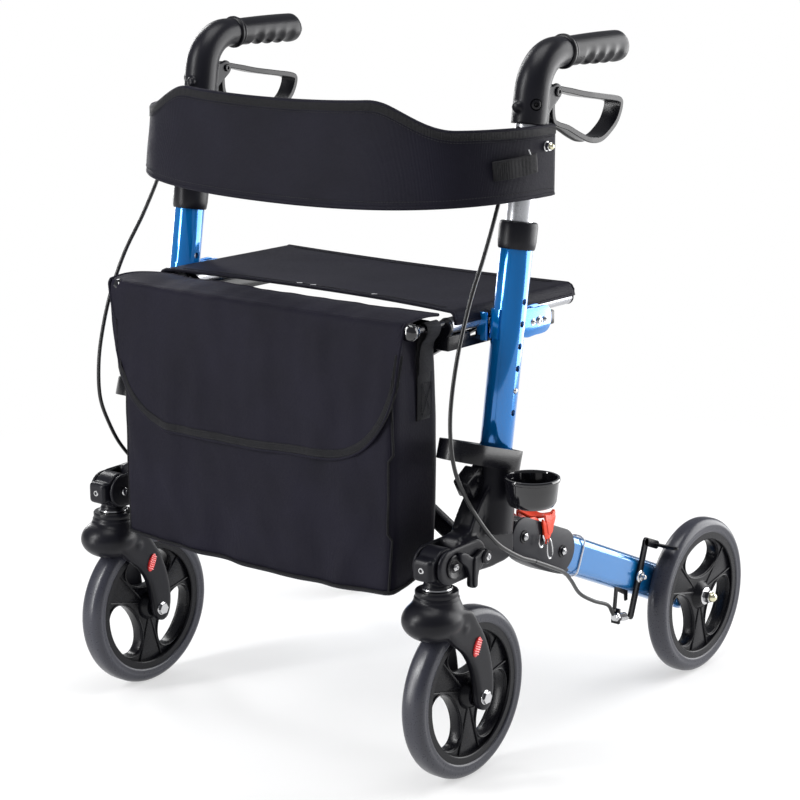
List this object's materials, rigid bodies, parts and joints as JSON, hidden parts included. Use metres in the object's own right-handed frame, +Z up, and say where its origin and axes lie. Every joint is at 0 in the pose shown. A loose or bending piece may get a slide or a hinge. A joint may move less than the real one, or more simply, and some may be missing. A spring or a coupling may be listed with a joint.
{
  "type": "rollator walker",
  "caption": "Folding walking frame on wheels with a cross brace, sling seat, backrest band, storage bag, cup holder and loop-lever brakes.",
  "frame": {"origin": "on the floor, in the middle of the footprint, cup holder and axle nuts included", "axes": "+Z up, +Y towards the user behind the walker, +X towards the user's left, the side with the cup holder"},
  "size_m": [0.654, 0.6802, 0.8415],
  "materials": {
    "blue_paint": "glossy bright blue metallic paint",
    "leg_paint": "glossy deep blue metallic paint",
    "silver_tube": "satin anodised",
    "frame_nylon": "glass-filled nylon, fine grained satin",
    "wheel_nylon": "satin moulded",
    "grip_rubber": "soft satin",
    "tyre_rubber": "smooth grey polyurethane",
    "bright_metal": "zinc and chrome plated",
    "black_steel": "satin black powder coat",
    "orange_plastic": "glossy",
    "cable_sheath": "smooth PVC",
    "cloth": "woven polyester with bound edges",
    "cup_plastic": "high gloss black"
  },
  "bodies": {
    "left_frame": {"frame_casting_left": "frame_nylon", "post_tube_left": "blue_paint", "post_collar_left": "frame_nylon", "caster_head_left": "frame_nylon", "seat_support_left": "frame_nylon", "brake_cable_left": "cable_sheath", "storage_bag": "cloth", "cup_holder": "cup_plastic"},
    "handle_left": {"height_tube_left": "silver_tube", "handle_housing_left": "frame_nylon", "grip_left": "grip_rubber", "backrest_band": "cloth"},
    "height_button_left": {"height_pin_left": "bright_metal"},
    "park_cam_left": {"brake_cam_left": "bright_metal"},
    "lever_left": {"brake_lever_left": "frame_nylon"},
    "caster_left": {"caster_fork_left": "frame_nylon", "front_axle_left": "bright_metal"},
    "front_wheel_left": {"front_rim_left": "wheel_nylon", "front_tyre_left": "tyre_rubber"},
    "leg_left": {"rear_leg_left": "leg_paint", "leg_bracket_left": "frame_nylon", "rear_axle_left": "bright_metal", "leg_cable_left": "cable_sheath"},
    "rear_wheel_left": {"rear_rim_left": "wheel_nylon", "rear_tyre_left": "tyre_rubber"},
    "brake_left": {"brake_arm_left": "black_steel"},
    "pull_left": {"release_pull_left": "orange_plastic"},
    "wing_left": {"wing_lever_left": "frame_nylon"},
    "rail_left": {"seat_rail_left": "silver_tube", "seat_sling": "cloth"},
    "right_frame": {"frame_casting_right": "frame_nylon", "post_tube_right": "blue_paint", "post_collar_right": "frame_nylon", "caster_head_right": "frame_nylon", "seat_support_right": "frame_nylon", "brake_cable_right": "cable_sheath"},
    "handle_right": {"height_tube_right": "silver_tube", "handle_housing_right": "frame_nylon", "grip_right": "grip_rubber"},
    "height_button_right": {"height_pin_right": "bright_metal"},
    "park_cam_right": {"brake_cam_right": "bright_metal"},
    "lever_right": {"brake_lever_right": "frame_nylon"},
    "caster_right": {"caster_fork_right": "frame_nylon", "front_axle_right": "bright_metal"},
    "front_wheel_right": {"front_rim_right": "wheel_nylon", "front_tyre_right": "tyre_rubber"},
    "leg_right": {"rear_leg_right": "leg_paint", "leg_bracket_right": "frame_nylon", "rear_axle_right": "bright_metal", "leg_cable_right": "cable_sheath"},
    "rear_wheel_right": {"rear_rim_right": "wheel_nylon", "rear_tyre_right": "tyre_rubber"},
    "brake_right": {"brake_arm_right": "black_steel"},
    "pull_right": {"release_pull_right": "orange_plastic"},
    "wing_right": {"wing_lever_right": "frame_nylon"},
    "rail_right": {"seat_rail_right": "silver_tube"},
    "bag_lid": {"bag_flap": "cloth"},
    "brace_a": {"cross_bar_a": "black_steel"},
    "brace_b": {"cross_bar_b": "black_steel"}
  },
  "joints": [
    {"name": "frame_fold", "type": "hinge", "parent": "left_frame", "child": "brace_a", "pos_m": [0.199, -0.18585, 0.255], "axis": [0, 1, 0], "range_deg": [0, 42], "deforming": ["seat_sling", "backrest_band", "storage_bag", "bag_flap"]},
    {"name": "brace_scissor", "type": "hinge", "parent": "brace_a", "child": "brace_b", "pos_m": [-0.023, -0.17785, 0.3895], "axis": [0, 1, 0], "range_deg": [-84, 0]},
    {"name": "right_frame_pivot", "type": "hinge", "parent": "brace_b", "child": "right_frame", "pos_m": [-0.245, -0.16985, 0.255], "axis": [0, 1, 0], "range_deg": [0, 42]},
    {"name": "left_rail_turn", "type": "hinge", "parent": "brace_b", "child": "rail_left", "pos_m": [0.199, -0.16985, 0.524], "axis": [0, 1, 0], "range_deg": [0, 42]},
    {"name": "right_rail_turn", "type": "hinge", "parent": "brace_a", "child": "rail_right", "pos_m": [-0.245, -0.18585, 0.524], "axis": [0, 1, 0], "range_deg": [-42, 0]},
    {"name": "bag_flap_lift", "type": "hinge", "parent": "left_frame", "child": "bag_lid", "pos_m": [-0.023, -0.23285, 0.536], "axis": [1, 0, 0], "range_deg": [-95, 0]},
    {"name": "handle_height_left", "type": "slide", "parent": "left_frame", "child": "handle_left", "axis": [0, 0.1537, 0.9881], "range_m": [-0.0254, 0.1016], "deforming": ["brake_cable_left", "brake_cable_right", "height_pin_left", "height_pin_right"]},
    {"name": "height_button_press_left", "type": "slide", "parent": "handle_left", "child": "height_button_left", "axis": [-1, 0, 0], "range_m": [0, 0.004], "stiffness_N_per_m": 400},
    {"name": "park_brake_left", "type": "hinge", "parent": "handle_left", "child": "park_cam_left", "pos_m": [0.232, -0.08185, 0.778], "axis": [1, 0, 0], "range_deg": [-18, 0]},
    {"name": "brake_squeeze_left", "type": "hinge", "parent": "park_cam_left", "child": "lever_left", "pos_m": [0.232, -0.08185, 0.778], "axis": [1, 0, 0], "range_deg": [0, 14], "stiffness_Nm_per_rad": 2, "springref_deg": -11.46},
    {"name": "brake_shoe_left", "type": "hinge", "parent": "leg_left", "child": "brake_left", "pos_m": [0.239, 0.12215, 0.1516], "axis": [1, 0, 0], "range_deg": [-5.2, 0]},
    {"name": "caster_swivel_left", "type": "hinge", "parent": "left_frame", "child": "caster_left", "pos_m": [0.234, -0.28965, 0.232], "axis": [0, 0, 1], "continuous": true},
    {"name": "front_wheel_spin_left", "type": "hinge", "parent": "caster_left", "child": "front_wheel_left", "pos_m": [0.234, -0.23865, 0.1015], "axis": [1, 0, 0], "continuous": true},
    {"name": "rear_wheel_spin_left", "type": "hinge", "parent": "leg_left", "child": "rear_wheel_left", "pos_m": [0.2545, 0.23865, 0.1015], "axis": [1, 0, 0], "continuous": true},
    {"name": "leg_fold_left", "type": "hinge", "parent": "left_frame", "child": "leg_left", "pos_m": [0.226, -0.13385, 0.264], "axis": [1, 0, 0], "range_deg": [-50, 0]},
    {"name": "leg_release_left", "type": "slide", "parent": "leg_left", "child": "pull_left", "axis": [0, 0, 1], "range_m": [0, 0.008], "stiffness_N_per_m": 400},
    {"name": "wing_turn_left", "type": "hinge", "parent": "left_frame", "child": "wing_left", "pos_m": [0.257, -0.23185, 0.267], "axis": [1, 0, 0], "range_deg": [-20, 20]},
    {"name": "handle_height_right", "type": "slide", "parent": "right_frame", "child": "handle_right", "axis": [0, 0.1537, 0.9881], "range_m": [-0.0254, 0.1016]},
    {"name": "height_button_press_right", "type": "slide", "parent": "handle_right", "child": "height_button_right", "axis": [1, 0, 0], "range_m": [0, 0.004], "stiffness_N_per_m": 400},
    {"name": "park_brake_right", "type": "hinge", "parent": "handle_right", "child": "park_cam_right", "pos_m": [-0.278, -0.08185, 0.778], "axis": [1, 0, 0], "range_deg": [-18, 0]},
    {"name": "brake_squeeze_right", "type": "hinge", "parent": "park_cam_right", "child": "lever_right", "pos_m": [-0.278, -0.08185, 0.778], "axis": [1, 0, 0], "range_deg": [0, 14], "stiffness_Nm_per_rad": 2, "springref_deg": -11.46},
    {"name": "brake_shoe_right", "type": "hinge", "parent": "leg_right", "child": "brake_right", "pos_m": [-0.285, 0.12215, 0.1516], "axis": [1, 0, 0], "range_deg": [-5.2, 0]},
    {"name": "caster_swivel_right", "type": "hinge", "parent": "right_frame", "child": "caster_right", "pos_m": [-0.28, -0.28965, 0.232], "axis": [0, 0, 1], "continuous": true},
    {"name": "front_wheel_spin_right", "type": "hinge", "parent": "caster_right", "child": "front_wheel_right", "pos_m": [-0.28, -0.23865, 0.1015], "axis": [1, 0, 0], "continuous": true},
    {"name": "rear_wheel_spin_right", "type": "hinge", "parent": "leg_right", "child": "rear_wheel_right", "pos_m": [-0.3005, 0.23865, 0.1015], "axis": [1, 0, 0], "continuous": true},
    {"name": "leg_fold_right", "type": "hinge", "parent": "right_frame", "child": "leg_right", "pos_m": [-0.272, -0.13385, 0.264], "axis": [1, 0, 0], "range_deg": [-50, 0]},
    {"name": "leg_release_right", "type": "slide", "parent": "leg_right", "child": "pull_right", "axis": [0, 0, 1], "range_m": [0, 0.008], "stiffness_N_per_m": 400},
    {"name": "wing_turn_right", "type": "hinge", "parent": "right_frame", "child": "wing_right", "pos_m": [-0.303, -0.23185, 0.267], "axis": [1, 0, 0], "range_deg": [-20, 20]}
  ],
  "couplings": [
    {"joint": "brace_scissor", "follows": "frame_fold", "ratio": -2},
    {"joint": "right_frame_pivot", "follows": "frame_fold", "ratio": 1},
    {"joint": "left_rail_turn", "follows": "frame_fold", "ratio": 1},
    {"joint": "right_rail_turn", "follows": "frame_fold", "ratio": -1},
    {"joint": "handle_height_right", "follows": "handle_height_left", "ratio": 1},
    {"joint": "brake_shoe_left", "follows": "brake_squeeze_left", "ratio": -0.37},
    {"joint": "brake_shoe_right", "follows": "brake_squeeze_right", "ratio": -0.37}
  ]
}
